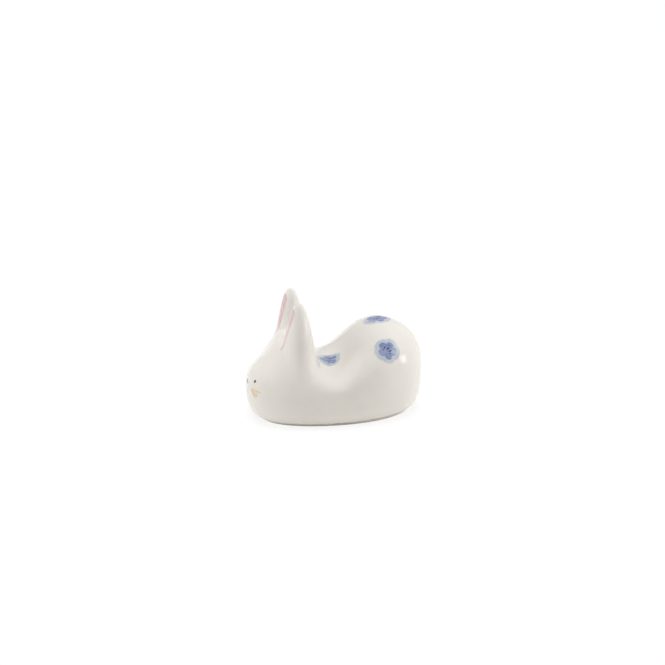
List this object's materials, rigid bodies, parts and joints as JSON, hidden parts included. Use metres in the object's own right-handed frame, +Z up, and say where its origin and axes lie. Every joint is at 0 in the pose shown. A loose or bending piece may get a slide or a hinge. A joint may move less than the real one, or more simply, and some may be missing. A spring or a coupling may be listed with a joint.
{
  "type": "chopstick rest",
  "caption": "Rabbit-shaped glazed porcelain chopstick rest with upright ears, a saddle for the sticks and painted blossoms.",
  "frame": {"origin": "on the table under the middle of the body", "axes": "-X is the way the nose points, +X the rump; +Y is the rabbit's right side; +Z is up through the ears"},
  "size_m": [0.042, 0.0262, 0.0296],
  "materials": {
    "porcelain": "matte bisque at the foot",
    "clear_glaze": "glossy clear glaze",
    "pink_enamel": "glossy overglaze enamel",
    "black_enamel": "glossy overglaze enamel",
    "tan_enamel": "glossy overglaze enamel",
    "pale_blue_wash": "watery brushed wash",
    "cobalt_paint": "brushed cobalt",
    "dark_cobalt_paint": "brushed dark cobalt"
  },
  "bodies": {
    "root": {"porcelain_body": "porcelain", "glaze_coat": "clear_glaze", "nose": "pink_enamel", "left_eye": "black_enamel", "right_eye": "black_enamel", "left_whiskers": "tan_enamel", "right_whiskers": "tan_enamel", "left_ear_stroke": "pink_enamel", "right_ear_stroke": "pink_enamel", "rump_top_wash": "pale_blue_wash", "rump_top_petals": "cobalt_paint", "rump_top_stamens": "dark_cobalt_paint", "left_side_wash": "pale_blue_wash", "left_side_petals": "cobalt_paint", "left_side_stamens": "dark_cobalt_paint", "right_side_wash": "pale_blue_wash", "right_side_petals": "cobalt_paint", "right_side_stamens": "dark_cobalt_paint", "saddle_wash": "pale_blue_wash", "saddle_petals": "cobalt_paint", "saddle_stamens": "dark_cobalt_paint"}
  },
  "joints": []
}
